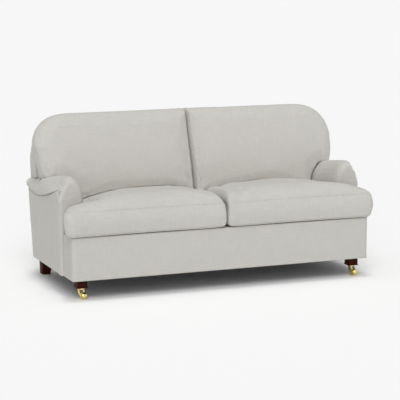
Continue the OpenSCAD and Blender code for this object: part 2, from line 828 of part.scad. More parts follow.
// Plan of the left seat cushion, inset by o from its widest line
function seat_plan(o) =
    let (
        g = loose_gap / 2, r = 34, rf = 48, rv = 10, re = 32, rm = max(18 - o, 3),
        x1 = -half_w - ear_out, x2 = -half_w - ear_back_out,
        fi = arc([-g - o - rm, seat_front + o + rm], rm, rm, -90, 0, 4),
        ri = arc([-g - r, seat_rear - r], r - o, r - o, 0, 90, 4),
        ro = arc([r - seat_in, seat_rear - r], r - o, r - o, 90, 180, 4),
        cv = arc([-seat_in - rv, ear_y + rv], rv + o, rv + o, 0, -90, 3),
        er = arc([x2 + re, ear_y - re], re - o, re - o, 90, 180, 4),
        fo = arc([x1 + rf, seat_front + rf], rf - o, rf - o, 180, 270, 5)
    )
    concat(
        fi, run(fi[4], ri[0], 7), ri, run(ri[4], ro[0], 7), ro, run(ro[4], cv[0], 6), cv,
        run(cv[3], er[0], 3), er, run(er[4], fo[0], 3), fo, run(fo[5], fi[0], 10, draw_in)
    );

seat_middle = [-seat_in * 0.52, ear_y - 40];

// Border of a seat cushion as [inset, share of its height], from the foot to the top seam
seat_border = [[31, 0], [16, 0.03], [6, 0.12], [1, 0.29], [0, 0.5], [3, 0.73], [8, 0.88], [seam_inset, 1]];

module seat_cushion(side) {
    low = deck_z + seat_gap;
    inside = seat_plan(30);
    rings = concat(
        [[for (p = spread(inside, seat_middle, 0.55)) [p[0], p[1], low]]],
        [for (b = seat_border) [for (p = seat_plan(b[0])) [p[0], p[1], low + border_h * b[1]]]],
        [for (s = [1, 0.88, 0.74, 0.58, 0.42, 0.26, 0.12])
            [for (p = spread(inside, seat_middle, s)) [p[0], p[1], seat_top(p[0], p[1])]]]
    );
    color(linen) both_sides(side) skin(rings);
}

module seat_zip(side) {
    z = deck_z + seat_gap + border_h / 2;
    x = -seat_in / 2;
    color("#8f8b80") both_sides(side)
        bar([x - zip_l / 2, seat_rear, z - zip_h / 2], [x + zip_l / 2, seat_rear + zip_t, z + zip_h / 2]);
}

// Depth of a back cushion at height z: q is 0 on its front face and 1 against the back
function cushion_y(q, z) =
    let (
        face = front_y + face_low_y + (z - seat_level_z) * tan(face_lean),
        rear = inner_back(z) - loose_gap
    )
    face + (rear - face) * q;

// Rise of a back cushion's front at [x, z], left cushion
function back_bulge(x, z) =
    back_crown * ease(x + cushion_out - 30, 130) * ease(-x - 24, 90)
    * ease(cushion_top_z - 24 - z, 110) * ease(z - seam_z - 60, 90);

// Front view of the left back cushion at depth q, inset by o, round from the foot by the middle
function back_plan(q, o) =
    let (
        g = loose_gap / 2, u = o * foot_round,
        rb = max(26 - o, 4), rt = max(20 - o, 4), rl = max(44 - o, 4),
        bx = -g - o - rb,
        yb = cushion_y(q, cushion_foot_z), ya = cushion_y(q, cushion_wing_z),
        crest = arm_crest(ya) + rest_gap, zc = arm_crest(ya) - roll_b,
        a = roll_a + rest_gap + u, b = roll_b + rest_gap + u,
        foot_x = -seat_in + 26,
        foot_z = seat_top(foot_x, yb) + rest_gap + u,
        low = asin(min(1, max(0, (foot_z + 16 - zc) / b))),
        bi = arc([bx, seat_top(bx, yb) + rest_gap + u + rb], rb, rb, -90, 0, 4),
        ti = arc([-g - o - rt, cushion_top_z - o - rt], rt, rt, 0, 90, 4),
        sc = [shoulder_w - cushion_out, cushion_top_z - shoulder_h],
        shoulder = [for (i = [0:9]) let (p = i * 10) [
            sc[0] - (shoulder_w - o) * pow(sin(p), 2 / shoulder_n),
            sc[1] + (shoulder_h - o) * pow(cos(p), 2 / shoulder_n)
        ]],
        lo = arc([o + rl - cushion_out, crest + u + rl], rl, rl, 180, 258, 5)
    )
    concat(
        [for (i = [0:7]) let (x = foot_x + (bx - foot_x) * (1 - cos(180 * i / 8)) / 2)
            [x, seat_top(x, yb) + rest_gap + u]],
        bi, run(bi[4], ti[0], 4), ti, run(ti[4], shoulder[0], 6), shoulder,
        run(shoulder[9], lo[0], 2), lo,
        [for (i = [0:7]) let (p = 97 + (low - 97) * i / 7) [a * cos(p) - roll_x, zc + b * sin(p)]]
    );

back_middle = [-seat_in * 0.58, cushion_top_z * 0.76];

// Section of a back cushion as [depth, inset], from its flat rear to the front seam
back_border_steps = [
    [1, 48], [0.97, 40], [0.9, 32], [0.8, 24], [0.68, 15], [0.55, 5],
    [0.35, 0], [0.17, 2], [0.08, 7], [0.03, 14], [0, 24]
];

module back_cushion(side) {
    inside = back_plan(0, 24);
    function at(q, p) = [p[0], cushion_y(q, p[1]) - back_bulge(p[0], p[1]) * pow(1 - q, 6), p[1]];
    rings = concat(
        [[for (p = spread(back_plan(1, 48), back_middle, 0.5)) at(1, p)]],
        [for (b = back_border_steps) [for (p = back_plan(b[0], b[1])) at(b[0], p)]],
        [for (s = [0.9, 0.76, 0.6, 0.42, 0.22]) [for (p = spread(inside, back_middle, s)) at(0, p)]]
    );
    color(linen) both_sides(side) skin([for (r = rings) [for (i = [len(r) - 1:-1:0]) r[i]]]);
}

front_rail();
rear_rail();
side_rail(-1);  // left_side_rail
side_rail(1);  // right_side_rail
centre_rail();
corner_blocks();
arm_stump(-1);  // left_arm_stump
arm_stump(1);  // right_arm_stump
arm_rail(-1);  // left_arm_rail
arm_rail(1);  // right_arm_rail
back_post(-1);  // left_back_post
back_post(1);  // right_back_post
centre_back_post();
back_top_rail();
back_lower_rail();
seat_springs();
spring_clips();
seat_deck();
back_webbing();
base_cover();
side_panel(-1);  // left_side_panel
side_panel(1);  // right_side_panel
arm_facing(-1);  // left_arm_facing
arm_facing(1);  // right_arm_facing
arm_pad(-1);  // left_arm_pad
arm_pad(1);  // right_arm_pad
roll_end(-1);  // left_roll_end
roll_end(1);  // right_roll_end
inside_back_pad();
back_border();
outside_back_cover();
dust_cover();
front_leg(-1);  // left_front_leg
front_leg(1);  // right_front_leg
rear_leg(-1);  // left_rear_leg
rear_leg(1);  // right_rear_leg
leg_bolts();
castor_plate(-1);  // left_castor_plate
castor_plate(1);  // right_castor_plate
castor_screws();
castor_fork(-1);  // left_castor_fork
castor_fork(1);  // right_castor_fork
castor_axle(-1);  // left_castor_axle
castor_axle(1);  // right_castor_axle
castor_wheel(-1);  // left_castor_wheel
castor_wheel(1);  // right_castor_wheel
seat_cushion(-1);  // left_seat_cushion
seat_cushion(1);  // right_seat_cushion
seat_zip(-1);  // left_seat_zip
seat_zip(1);  // right_seat_zip
back_cushion(-1);  // left_back_cushion
back_cushion(1);  // right_back_cushion
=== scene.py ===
import math

import bmesh
import bpy
import numpy as np
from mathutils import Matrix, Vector, noise


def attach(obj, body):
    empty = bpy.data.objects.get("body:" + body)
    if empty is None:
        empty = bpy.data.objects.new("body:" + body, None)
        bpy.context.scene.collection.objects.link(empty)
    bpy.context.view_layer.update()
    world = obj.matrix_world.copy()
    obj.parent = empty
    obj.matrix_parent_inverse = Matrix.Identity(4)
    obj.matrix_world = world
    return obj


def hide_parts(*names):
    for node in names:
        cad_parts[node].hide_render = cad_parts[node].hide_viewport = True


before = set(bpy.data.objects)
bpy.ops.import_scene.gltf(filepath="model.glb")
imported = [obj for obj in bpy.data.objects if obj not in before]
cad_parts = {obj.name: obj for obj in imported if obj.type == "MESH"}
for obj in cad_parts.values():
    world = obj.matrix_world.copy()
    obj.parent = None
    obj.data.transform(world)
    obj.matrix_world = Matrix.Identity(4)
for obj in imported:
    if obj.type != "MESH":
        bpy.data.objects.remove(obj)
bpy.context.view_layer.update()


# Camera
# The sofa is seen from its left, a little above the arms, through a long lens.
# The whole of it fills the width of a square picture.
CAMERA_PLACE = (-3.244, -8.136, 1.881)
CAMERA_TILT_DEG = 9.39
CAMERA_TURN_DEG = 21.833
SENSOR_MM = 36
LENS_MM = 139.57
FARTHEST_SEEN_M = 400

camera_data = bpy.data.cameras.new("camera")
camera_data.sensor_width = SENSOR_MM
camera_data.lens = LENS_MM
camera_data.clip_end = FARTHEST_SEEN_M
camera = bpy.data.objects.new("camera", camera_data)
camera.location = CAMERA_PLACE
camera.rotation_euler = (math.radians(90 - CAMERA_TILT_DEG), 0, -math.radians(CAMERA_TURN_DEG))
bpy.context.scene.collection.objects.link(camera)
bpy.context.scene.camera = camera
bpy.context.scene.view_settings.view_transform = "Standard"


# Timber frame
# Sawn and planed beech, dowelled and glued, with the rails, stumps and posts that carry the springs
# and the upholstery. It is pale, close-grained and dull, and all of it is hidden under the cloth.
MM = 0.001


def linear(hex_colour):
    """The linear RGBA of an sRGB hex colour."""
    parts = [int(hex_colour[i : i + 2], 16) / 255 for i in (0, 2, 4)]
    return [p / 12.92 if p <= 0.04045 else ((p + 0.055) / 1.055) ** 2.4 for p in parts] + [1]


def add_node(material, kind, inputs=None, **settings):
    """Adds a shader node. Each input is a value, or the output socket that feeds it."""
    made = material.node_tree.nodes.new("ShaderNode" + kind)
    for name, value in settings.items():
        setattr(made, name, value)
    for socket, value in (inputs or {}).items():
        if isinstance(value, bpy.types.NodeSocket):
            material.node_tree.links.new(value, made.inputs[socket])
        else:
            made.inputs[socket].default_value = value
    return made


def new_material(name):
    material = bpy.data.materials.new(name)
    material.use_nodes = True
    material.node_tree.nodes.clear()
    return material


def surface(material, inputs):
    """Ends a material with its surface shader."""
    shader = add_node(material, "BsdfPrincipled", inputs)
    add_node(material, "OutputMaterial", {"Surface": shader.outputs["BSDF"]})
    return material


# Wood: how much a fibre's width is of its length, a figure's fineness against the pores', the pores'
# depth, and the low gloss of a dull or waxed face
FIBRE_STRETCH = 0.06
FIGURE_SHARE = 0.12
PORE_DEPTH_MM = 0.3
WOOD_GLOSS = 0.08


def planed_wood(name, along, pale, dark, grain_mm, roughness):
    """Wood whose grain runs along one axis, as lines grain_mm apart that wander and darken."""
    wood = new_material(name)
    place = add_node(wood, "TexCoord")
    stretch = [FIBRE_STRETCH if axis == along else 1 for axis in range(3)]
    fibre = add_node(wood, "Mapping", {"Vector": place.outputs["Object"], "Scale": stretch})
    figure = add_node(wood, "TexNoise", {
        "Vector": fibre.outputs["Vector"], "Scale": FIGURE_SHARE / (grain_mm * MM), "Detail": 3.0,
        "Distortion": 0.6})
    pores = add_node(wood, "TexNoise", {
        "Vector": fibre.outputs["Vector"], "Scale": 1 / (grain_mm * MM), "Detail": 4.0})
    both = add_node(wood, "Math", {0: figure.outputs["Fac"], 1: pores.outputs["Fac"]}, operation="ADD")
    half = add_node(wood, "Math", {0: both.outputs["Value"], 1: 0.5}, operation="MULTIPLY")
    colour = add_node(wood, "ValToRGB", {"Fac": half.outputs["Value"]})
    colour.color_ramp.elements[0].position = 0.36
    colour.color_ramp.elements[0].color = linear(dark)
    colour.color_ramp.elements[1].position = 0.64
    colour.color_ramp.elements[1].color = linear(pale)
    relief = add_node(wood, "Bump", {
        "Height": pores.outputs["Fac"], "Strength": 0.25, "Distance": PORE_DEPTH_MM * MM})
    return surface(wood, {
        "Base Color": colour.outputs["Color"], "Roughness": roughness, "Specular IOR Level": WOOD_GLOSS,
        "Normal": relief.outputs["Normal"]})


def finish_nodes(material, *names):
    """Gives CAD nodes their material."""
    for name in names:
        for material_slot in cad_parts[name].material_slots:
            material_slot.material = material


X_AXIS, Y_AXIS, Z_AXIS = 0, 1, 2
BEECH_PALE, BEECH_DARK = "d2b78c", "b8935f"
beech = {axis: planed_wood(f"planed_beech_{'xyz'[axis]}", axis, BEECH_PALE, BEECH_DARK, grain_mm=1.5,
                           roughness=0.6)
         for axis in (X_AXIS, Y_AXIS, Z_AXIS)}
finish_nodes(beech[X_AXIS], "front_rail", "rear_rail", "back_top_rail", "back_lower_rail", "corner_blocks")
finish_nodes(beech[Y_AXIS], "left_side_rail", "right_side_rail", "centre_rail", "left_arm_rail",
             "right_arm_rail")
finish_nodes(beech[Z_AXIS], "left_arm_stump", "right_arm_stump", "left_back_post", "right_back_post",
             "centre_back_post")


# Springs, clips and leg bolts
# Zig-zag springs of hard-drawn wire run from front rail to rear rail in pressed steel clips. Bolts of
# the same zinc-plated steel hold the legs. The metal is grey, smooth and fairly bright.
def plain_metal(name, colour, roughness, wear_mm):
    """Metal whose polish varies in patches wear_mm across."""
    metal = new_material(name)
    place = add_node(metal, "TexCoord")
    patches = add_node(metal, "TexNoise", {
        "Vector": place.outputs["Object"], "Scale": 1 / (wear_mm * MM), "Detail": 4.0})
    polish = add_node(metal, "MapRange", {
        "Value": patches.outputs["Fac"], "From Min": 0.3, "From Max": 0.7,
        "To Min": roughness * 0.75, "To Max": roughness * 1.3})
    tone = add_node(metal, "MapRange", {
        "Value": patches.outputs["Fac"], "From Min": 0.3, "From Max": 0.7, "To Min": 0.86, "To Max": 1.0})
    shade = add_node(metal, "Mix", {0: 1.0, 6: linear(colour), 7: tone.outputs["Result"]},
                     data_type="RGBA", blend_type="MULTIPLY")
    return surface(metal, {
        "Base Color": shade.outputs[2], "Metallic": 1.0, "Roughness": polish.outputs["Result"]})


steel = plain_metal("zinc_plated_steel", "b4b7ba", roughness=0.32, wear_mm=12)
finish_nodes(steel, "seat_springs", "spring_clips", "leg_bolts")


# Webbing, deck and dust cover
# Jute straps cross the back, a cotton deck cloth lies over the springs, and thin black cambric closes
# the underside. All three are plain cloth, stapled to the timber.
# Cloth: where a face counts as turned to an axis, how long a slub is against its width and how fine
# against the threads, the size of faded patches, and how far each of these shifts the colour. The
# weave's shift is painted shade, darker where a thread dips down beside its neighbour.
HALF_TURNED = 0.7071
SLUB_STRETCH = 0.05
SLUB_SHARE = 0.45
PATCHES_PER_M = 9.0
PATCH_TONE = 0.06
WEAVE_SHADE = 0.14
MEAN_HEIGHT = 0.6
SLUB_RELIEF = 0.8


def woven(name, colour, thread_mm, slub, roughness, relief_mm, sheen=0.0):
    """Plain-weave cloth. Its threads run along the two axes that lie nearest the surface, with painted
    shade where they dip.
    """
    cloth = new_material(name)
    place = add_node(cloth, "TexCoord")
    at = add_node(cloth, "SeparateXYZ", {"Vector": place.outputs["Object"]})
    facing = add_node(cloth, "SeparateXYZ", {"Vector": place.outputs["Normal"]})

    def count(operation, first, second=None):
        values = {0: first} if second is None else {0: first, 1: second}
        return add_node(cloth, "Math", values, operation=operation).outputs["Value"]

    def choose(share, low, high):
        return add_node(cloth, "Mix", {0: share, 2: low, 3: high}, data_type="FLOAT").outputs[0]

    sideways = count("GREATER_THAN", count("ABSOLUTE", facing.outputs["X"]), HALF_TURNED)
    upwards = count("GREATER_THAN", count("ABSOLUTE", facing.outputs["Z"]), HALF_TURNED)
    across = choose(sideways, at.outputs["X"], at.outputs["Y"])
    along = choose(upwards, at.outputs["Z"], at.outputs["Y"])
    turn = math.pi / (thread_mm * MM)
    warp = count("SINE", count("MULTIPLY", across, turn))
    weft = count("SINE", count("MULTIPLY", along, turn))
    over = count("GREATER_THAN", count("MULTIPLY", warp, weft), 0.0)
    height = choose(over, count("ABSOLUTE", warp), count("ABSOLUTE", weft))
    lie = add_node(cloth, "CombineXYZ", {"X": across, "Y": along}).outputs["Vector"]
    slubs = [add_node(cloth, "TexNoise", {
        "Vector": add_node(cloth, "Mapping", {"Vector": lie, "Scale": scale}).outputs["Vector"],
        "Scale": SLUB_SHARE / (thread_mm * MM), "Detail": 2.0}, noise_dimensions="2D").outputs["Fac"]
        for scale in ((1, SLUB_STRETCH, 1), (SLUB_STRETCH, 1, 1))]
    thick = choose(over, slubs[0], slubs[1])
    patches = add_node(cloth, "TexNoise", {
        "Vector": place.outputs["Object"], "Scale": PATCHES_PER_M, "Detail": 3.0}).outputs["Fac"]
    thread_tone = count("MULTIPLY", count("SUBTRACT", thick, 0.5), slub)
    cloth_tone = count("MULTIPLY", count("SUBTRACT", patches, 0.5), PATCH_TONE)
    # Painted shade: each thread is drawn darker where it dips and lighter at its crest
    weave_shade = count("MULTIPLY", count("SUBTRACT", height, MEAN_HEIGHT), WEAVE_SHADE)
    tone = count("ADD", count("ADD", thread_tone, 1.0), count("ADD", cloth_tone, weave_shade))
    shade = add_node(cloth, "Mix", {0: 1.0, 6: linear(colour), 7: tone}, data_type="RGBA",
                     blend_type="MULTIPLY")
    relief = add_node(cloth, "Bump", {
        "Height": count("ADD", height, count("MULTIPLY", thick, SLUB_RELIEF)), "Strength": 0.5,
        "Distance": relief_mm * MM})
    return surface(cloth, {
        "Base Color": shade.outputs[2], "Roughness": roughness, "Sheen Weight": sheen,
        "Sheen Roughness": 0.4, "Sheen Tint": linear("ffffff"), "Normal": relief.outputs["Normal"]})


jute = woven("jute_webbing", "a98a5c", thread_mm=3.0, slub=0.5, roughness=0.85, relief_mm=0.8)
deck_cotton = woven("cotton_deck_cloth", "cfcabb", thread_mm=1.4, slub=0.2, roughness=0.85, relief_mm=0.3)
cambric = woven("black_cambric", "1c1c1e", thread_mm=0.9, slub=0.2, roughness=0.8, relief_mm=0.15)
finish_nodes(jute, "back_webbing")
finish_nodes(deck_cotton, "seat_deck")
finish_nodes(cambric, "dust_cover")


# Base
# One width of linen over thin wadding is pulled round the front rail and both front corners, and
# stapled underneath. Its edges are soft, and its face is nearly flat.
# The linen is matt and pale, with thicker threads here and there and a faint sheen. Its threads are
# drawn 1.6 mm apart, about twice as coarse as such cloth, so that they show.
LINEN_COLOUR = "bfbdb7"
linen, cushion_linen = [
    woven(name, LINEN_COLOUR, thread_mm=1.6, slub=0.28, roughness=0.9, relief_mm=0.35, sheen=0.12)
    for name in ("plain_woven_linen", "cushion_linen")]
SAME_POINT_MM = 0.01


def merged_copy(*names):
    """A bmesh of CAD nodes, joined at their corners."""
    shape = bmesh.new()
    for name in names:
        shape.from_mesh(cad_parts[name].data)
    bmesh.ops.remove_doubles(shape, verts=shape.verts, dist=SAME_POINT_MM * MM)
    return shape


def make_piece(name, shape, material, slot, *stands_for, body="root"):
    """A finished piece from a bmesh, in the place of some CAD nodes."""
    mesh = bpy.data.meshes.new(name)
    shape.to_mesh(mesh)
    shape.free()
    mesh.materials.append(material)
    mesh.shade_smooth()
    piece = bpy.data.objects.new(name, mesh)
    bpy.context.scene.collection.objects.link(piece)
    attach(piece, body)
    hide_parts(*stands_for)
    return piece


def soften(shape, width_mm, segments=3, corner_deg=25):
    """Clears the flat faces of their inner edges and rounds every sharp edge."""
    bmesh.ops.dissolve_limit(shape, angle_limit=math.radians(1), verts=shape.verts, edges=shape.edges)
    sharp = [e for e in shape.edges
             if len(e.link_faces) == 2 and e.calc_face_angle() > math.radians(corner_deg)]
    bmesh.ops.bevel(shape, geom=sharp, offset=width_mm * MM, segments=segments, profile=0.5,
                    affect="EDGES", material=-1)
    bmesh.ops.triangulate(shape, faces=shape.faces)


shape = merged_copy("base_cover")
soften(shape, width_mm=5.5, segments=4)
make_piece("base_cloth", shape, linen, "linen", "base_cover")


# Arms
# Each arm is padded over its board and covered in one cloth, from the inner side over the roll and
# round the knuckle, where the cloth is gathered into pleats. A flat panel closes it below the roll.
def applied(piece):
    """Replaces a piece's mesh by what its modifiers make of it."""
    bpy.context.view_layer.update()
    seen = piece.evaluated_get(bpy.context.evaluated_depsgraph_get())
    shaped = bpy.data.meshes.new_from_object(seen)
    piece.modifiers.clear()
    old, name = piece.data, piece.data.name
    piece.data = shaped
    bpy.data.meshes.remove(old)
    shaped.name = name
    shaped.shade_smooth()
    return piece


def remeshed(piece, voxel_mm, rounds):
    """Gives a piece even faces and irons out what its solid's corners leave."""
    skin = piece.modifiers.new("even", "REMESH")
    skin.mode = "VOXEL"
    skin.voxel_size = voxel_mm * MM
    iron = piece.modifiers.new("iron", "SMOOTH")
    iron.factor = 0.5
    iron.iterations = rounds
    return applied(piece)


def cut_at(shape, point, normal):
    """Keeps what lies behind a plane, and closes the cut."""
    everything = shape.verts[:] + shape.edges[:] + shape.faces[:]
    bmesh.ops.bisect_plane(shape, geom=everything, plane_co=point, plane_no=normal, clear_outer=True)
    bmesh.ops.holes_fill(shape, edges=shape.edges)
    bmesh.ops.triangulate(shape, faces=shape.faces)


def points_of(mesh):
    """The places and the outward directions of a mesh's points, as two arrays."""
    places, facing = np.empty(len(mesh.vertices) * 3), np.empty(len(mesh.vertices) * 3)
    mesh.vertices.foreach_get("co", places)
    mesh.vertex_normals.foreach_get("vector", facing)
    return places.reshape(-1, 3), facing.reshape(-1, 3)


def place_points(mesh, places):
    mesh.vertices.foreach_set("co", places.ravel())
    mesh.update()


def nudged(piece, moves):
    """Moves parts of a piece: each move is mm outwards, back and up, and its share along x, y and z."""
    places, _ = points_of(piece.data)
    out = np.sign(places[:, :1]) * (1, 0, 0) + (0, 1, 1)
    moved = np.zeros_like(places)
    for shift_mm, *profiles in moves:
        share = np.ones(len(places))
        for axis, profile in enumerate(profiles):
            if profile:
                part = np.interp((places * out)[:, axis], *zip(*profile))
                share *= part * part * (3 - 2 * part)
        moved += share[:, None] * np.array(shift_mm) * MM
    place_points(piece.data, places + moved * out)


# A fold dips at its line, rises to a low ridge on both sides, and fades along its last quarter
RIDGE_HEIGHT = 0.55
RIDGE_PLACE = 1.7
FADE_SHARE = 0.25


def pleated(piece, folds, mirror):
    """Presses folds into a piece. Each is a line of points, its depth and its half width in mm."""
    places, facing = points_of(piece.data)
    move = np.zeros(len(places))
    for line, depth_mm, width_mm in folds:
        line = np.array(line) * (mirror, 1, 1)
        near, share = np.full(len(places), 1e9), np.zeros(len(places))
        for i in range(len(line) - 1):
            step = line[i + 1] - line[i]
            t = np.clip((places - line[i]) @ step / (step @ step), 0, 1)
            away = np.linalg.norm(places - line[i] - t[:, None] * step, axis=1)
            closer = away < near
            near[closer], share[closer] = away[closer], ((i + t) / (len(line) - 1))[closer]
        across = near / (width_mm * MM)
        fade = np.clip((1 - share) / FADE_SHARE, 0, 1)
        ridge = RIDGE_HEIGHT * np.exp(-(across - RIDGE_PLACE) ** 2)
        move += depth_mm * MM * fade * (ridge - np.exp(-across ** 2))
    place_points(piece.data, places + facing * move[:, None])


def reshaped_knuckle(piece):
    """Slopes the outer shoulder of the knuckle, which is rounder than the roll behind it."""
    places, _ = points_of(piece.data)
    side = np.sign(places[:, 0])
    beyond = np.maximum(abs(places[:, 0]) - KNUCKLE_X, 0)
    share = np.interp(places[:, 2], *zip(*KNUCKLE_SLOPE))
    blend = np.interp(places[:, 1], KNUCKLE_END_Y, (1, 0))
    places[:, 0] -= side * beyond * (1 - share) * blend
    place_points(piece.data, places)


# The knuckle's crown line, the y over which its shape turns into the roll's, and how wide its outer
# shoulder is at each height, as a share of the roll's
KNUCKLE_X = 0.837
KNUCKLE_END_Y = (-0.16, -0.02)
KNUCKLE_SLOPE = [(0.49, 1.0), (0.51, 1.06), (0.54, 0.94), (0.56, 0.81), (0.58, 0.70), (0.60, 0.63),
                 (0.62, 0.60)]
# Where the outside panel ends and the knuckle's cloth comes round, and the point where the pleats
# meet on the left arm. The last two folds are the tuck before the back post and the facing's edge.
PANEL_SEAM_Y = -0.2225
GATHER = (-0.909, -0.220, 0.575)
PLEATS = [
    ([GATHER, (-0.897, -0.221, 0.605), (-0.871, -0.238, 0.630), (-0.840, -0.250, 0.640)], 6.5, 6),
    ([GATHER, (-0.899, -0.190, 0.604), (-0.885, -0.180, 0.622)], 4.5, 5.5),
    ([GATHER, (-0.900, -0.160, 0.598), (-0.890, -0.145, 0.612)], 3.5, 5.5),
    ([GATHER, (-0.902, -0.130, 0.590), (-0.894, -0.110, 0.602)], 3, 5.5),
    ([(-0.895, -0.226, 0.548), (-0.866, -0.250, 0.580), (-0.835, -0.258, 0.595)], 2.5, 6),
    ([(-0.893, -0.230, 0.515), (-0.862, -0.256, 0.540), (-0.830, -0.260, 0.548)], 2, 6),
    ([(-0.850, 0.210, 0.590), (-0.886, 0.175, 0.569), (-0.904, 0.125, 0.535)], 8, 22),
    ([(-0.889, -0.247, 0.340), (-0.887, -0.249, 0.230), (-0.885, -0.250, 0.125)], 1.5, 4),
]
SEAM_GAP_MM = 1
PANEL_SEAM = [([(-0.893, PANEL_SEAM_Y, 0.10), (-0.897, PANEL_SEAM_Y, 0.35), (-0.900, PANEL_SEAM_Y, 0.58)],
               7, 9)]
# The knuckle falls a little outside, and the roll is slimmer inside towards the back
ARM_LIE = [((-7, 0, -8), [(0.82, 0), (0.89, 1)], [(-0.16, 1), (-0.02, 0)], [(0.56, 0), (0.63, 1)]),
           ((-11, 0, 0), [(0.76, 1), (0.80, 0)], [(-0.1, 0), (0.1, 1)], [(0.60, 1), (0.64, 0)])]
for side, mirror in (("left", 1), ("right", -1)):
    shape = merged_copy(f"{side}_side_panel")
    cut_at(shape, (0, PANEL_SEAM_Y, 0), (0, 1, 0))
    strip = bpy.data.meshes.new("strip")
    shape.to_mesh(strip)
    shape.free()
    shape = merged_copy(f"{side}_arm_facing", f"{side}_arm_pad", f"{side}_roll_end")
    shape.from_mesh(strip)
    bpy.data.meshes.remove(strip)
    arm = make_piece(f"{side}_arm_cloth", shape, linen, "linen",
                     f"{side}_arm_facing", f"{side}_arm_pad", f"{side}_roll_end")
    remeshed(arm, voxel_mm=5, rounds=4)
    pleated(arm, PLEATS + PANEL_SEAM, mirror)
    reshaped_knuckle(arm)
    nudged(arm, ARM_LIE)

    shape = merged_copy(f"{side}_side_panel")
    cut_at(shape, (0, PANEL_SEAM_Y + SEAM_GAP_MM * MM, 0), (0, -1, 0))
    panel = make_piece(f"{side}_outside_panel", shape, linen, "linen", f"{side}_side_panel")
    remeshed(panel, voxel_mm=5, rounds=3)
    pleated(panel, PANEL_SEAM, mirror)


# Back
# The inside of the back is padded, a border of linen runs round the frame's edge between two seams,
# and the outside back is a flat panel of the same cloth, sewn by hand along its edge.
# The frame's shoulders draw in, and the wings' lower edge comes down onto the arms
BACK_TRIM = [((-5, 0, 0), [(0.78, 0), (0.86, 1)]),
             ((0, 0, -16), [(0.76, 0), (0.80, 1)], [], [(0.50, 0), (0.54, 1), (0.60, 1), (0.66, 0)]),
             ((-6, 0, 0), [(0.68, 0), (0.84, 1)], [], [(0.66, 0), (0.71, 1), (0.74, 1), (0.79, 0)])]
for piece_name, node_name, width_mm in (
        ("inside_back_cloth", "inside_back_pad", 8),
        ("back_border_cloth", "back_border", 4),
        ("outside_back_cloth", "outside_back_cover", 2.5)):
    shape = merged_copy(node_name)
    soften(shape, width_mm)
    piece = make_piece(piece_name, shape, linen, "linen", node_name)
    nudged(piece, BACK_TRIM)


# Legs
# Sawn from solid mahogany, stained dark and waxed, and bolted to the frame. The edges are eased, and
# each front leg has a small lip at its foot. The wood is red-brown with fine dark grain.
mahogany = planed_wood("waxed_mahogany", Z_AXIS, "451a0c", "250a04", grain_mm=1.2, roughness=0.55)
for name in ("left_front_leg", "right_front_leg", "left_rear_leg", "right_rear_leg"):
    shape = merged_copy(name)
    soften(shape, width_mm=1.2)
    make_piece(f"{name}_block", shape, mahogany, "mahogany", name)


# Castors
# Cast brass, polished and lacquered: a screwed plate, a fork with two swept cheeks and a solid wheel
# on a riveted axle. The metal is pale yellow and bright.
brass = plain_metal("lacquered_brass", "e6d48e", roughness=0.2, wear_mm=8)
finish_nodes(brass, "castor_screws", *[f"{side}_castor_{part}" for side in ("left", "right")
                                       for part in ("plate", "fork", "axle", "wheel")])


# Seat cushions
# Boxed cushions of foam in a feather wrap, T-shaped so that their ears come round the arms. The linen
# is sewn with plain seams along the top and bottom of the border, and a zip closes the rear.
def blown(piece, shrink_mm, swell_mm, seams, held):
    """Fills a cushion as cloth that its seams pin. It swells least towards what holds it."""
    places, facing = points_of(piece.data)
    start = places - facing * shrink_mm * MM
    place_points(piece.data, start)
    pins = np.zeros(len(start), bool)
    for point, normal in seams:
        pins |= abs((places - np.array(point)) @ np.array(normal)) < PIN_MM * MM
    pinned = piece.vertex_groups.new(name="seams")
    pinned.add(np.flatnonzero(pins).tolist(), 1.0, "REPLACE")
    cloth = piece.modifiers.new("cloth", "CLOTH")
    cloth.settings.vertex_group_mass = pinned.name
    cloth.settings.use_pressure = True
    cloth.settings.uniform_pressure_force = FILLING_PRESSURE
    cloth.settings.effector_weights.gravity = 0
    cloth.point_cache.frame_end = BLOW_FRAMES
    for step in range(1, BLOW_FRAMES + 1):
        bpy.context.scene.frame_set(step)
    applied(piece)
    bpy.context.scene.frame_set(1)
    piece.vertex_groups.clear()
    end, _ = points_of(piece.data)
    room = np.full(len(start), swell_mm * MM)
    for way in held:
        room[facing @ np.array(way) > 0.5] = (shrink_mm - 1) * MM
    far = np.linalg.norm(end - start, axis=1)
    share = np.minimum(1, room / np.maximum(far, 1e-9))
    place_points(piece.data, start + (end - start) * share[:, None])


# Puckers: how far from the seam they reach and fade, how many big and small ones go in a metre, and
# how much of the way across the seam they run straight
PUCKER_REACH_MM = 60
PUCKER_FADE_MM = 16
PUCKERS_PER_M = 45
SMALL_PUCKERS_PER_M = 95
PUCKER_RUN = 0.8


